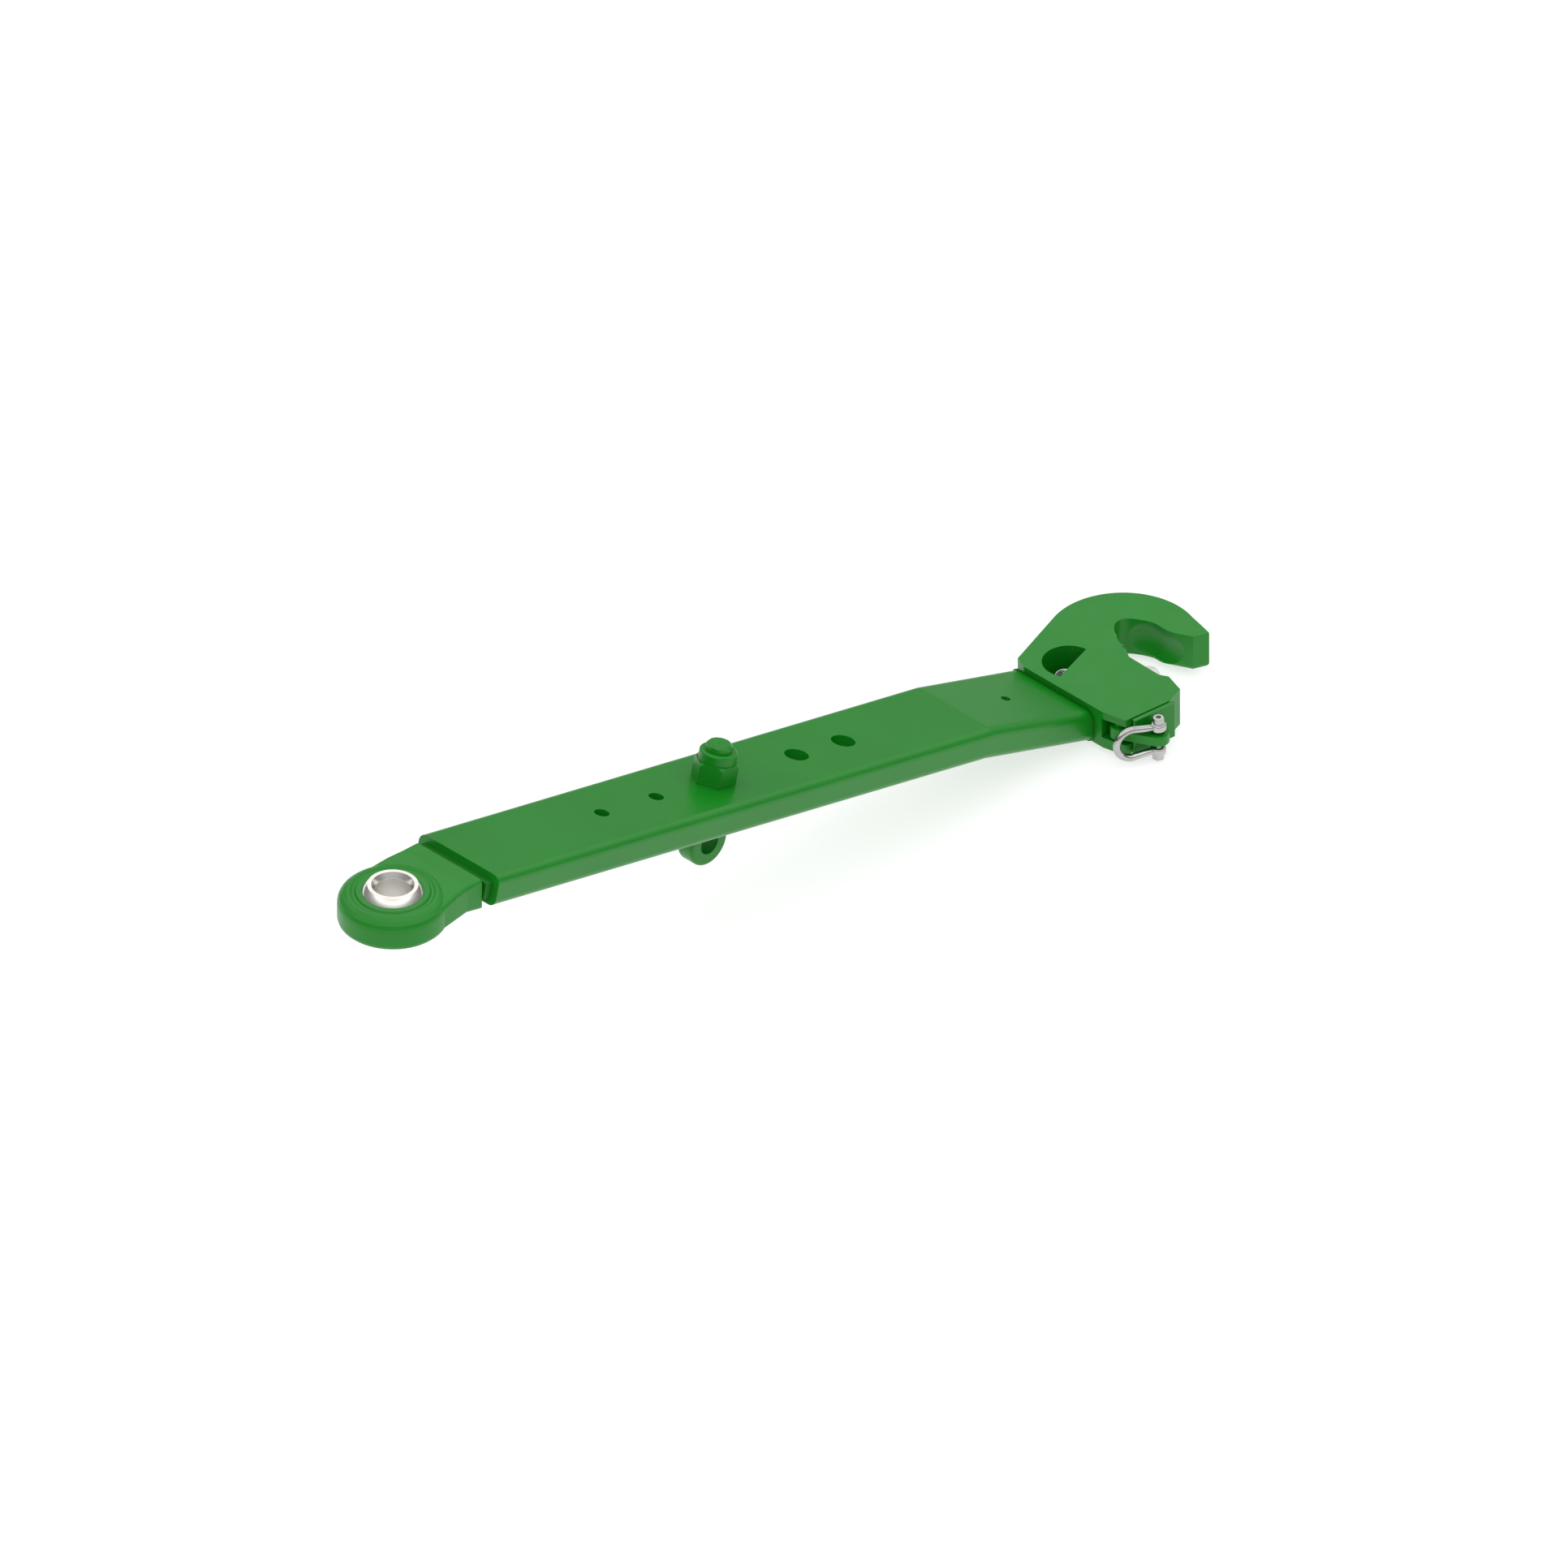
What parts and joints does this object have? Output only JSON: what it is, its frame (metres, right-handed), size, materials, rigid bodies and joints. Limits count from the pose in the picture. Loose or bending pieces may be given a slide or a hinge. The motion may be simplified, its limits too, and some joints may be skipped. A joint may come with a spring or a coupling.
{
  "type": "three-point linkage lower link",
  "caption": "Cranked flat-bar lower link of a tractor linkage with a ball eye, stabiliser eye bolt and self-locking catch hook with release lever and shackle.",
  "frame": {"origin": "centre of the ball at the tractor end", "axes": "+Z along the ball's bore, +X towards the catch hook; -Y points to the hook's open mouth"},
  "size_m": [1.038, 0.1895, 0.2385],
  "materials": {
    "green_bar": "semi-gloss",
    "green_forging": "semi-gloss",
    "bright_steel": "polished",
    "zinc_steel": "satin",
    "spring_steel": "satin"
  },
  "bodies": {
    "link": {"link_bar": "green_bar", "eye_forging": "green_forging", "eye_weld_bead": "green_forging", "stabiliser_eye_bolt": "green_forging", "eye_bolt_nut": "green_forging", "hook_body": "green_forging", "hook_weld_bead": "green_forging", "latch_spring_post": "zinc_steel", "latch_pivot_pin": "zinc_steel", "latch_pin_ring": "spring_steel", "lever_pivot_pin": "green_forging", "lever_pin_ring": "spring_steel", "latch_spring": "spring_steel"},
    "ball": {"ball_bushing": "bright_steel"},
    "pawl": {"latch": "zinc_steel", "latch_drag_pin": "zinc_steel"},
    "lever": {"release_lever": "green_forging"},
    "shackle": {"shackle_bow": "bright_steel", "shackle_bolt": "bright_steel", "shackle_nut": "bright_steel"}
  },
  "joints": [
    {"name": "ball_tilt", "type": "hinge", "parent": "link", "child": "ball", "pos_m": [0, 0, 0], "axis": [0, 1, 0], "range_deg": [-12, 12]},
    {"name": "lever_pivot", "type": "hinge", "parent": "link", "child": "lever", "pos_m": [0.836, -0.073, -0.193], "axis": [0, 0, -1], "range_deg": [0, 23], "stiffness_Nm_per_rad": 1.2, "springref_deg": -20.05},
    {"name": "latch_pivot", "type": "hinge", "parent": "link", "child": "pawl", "pos_m": [0.886, -0.07, -0.191], "axis": [0, 0, 1], "range_deg": [0, 26], "deforming": ["latch_spring"]},
    {"name": "shackle_swing", "type": "hinge", "parent": "lever", "child": "shackle", "pos_m": [0.853, -0.104, -0.1935], "axis": [0, 0, 1], "range_deg": [0, 170]}
  ],
  "couplings": [
    {"joint": "latch_pivot", "follows": "lever_pivot", "ratio": 1.13}
  ]
}
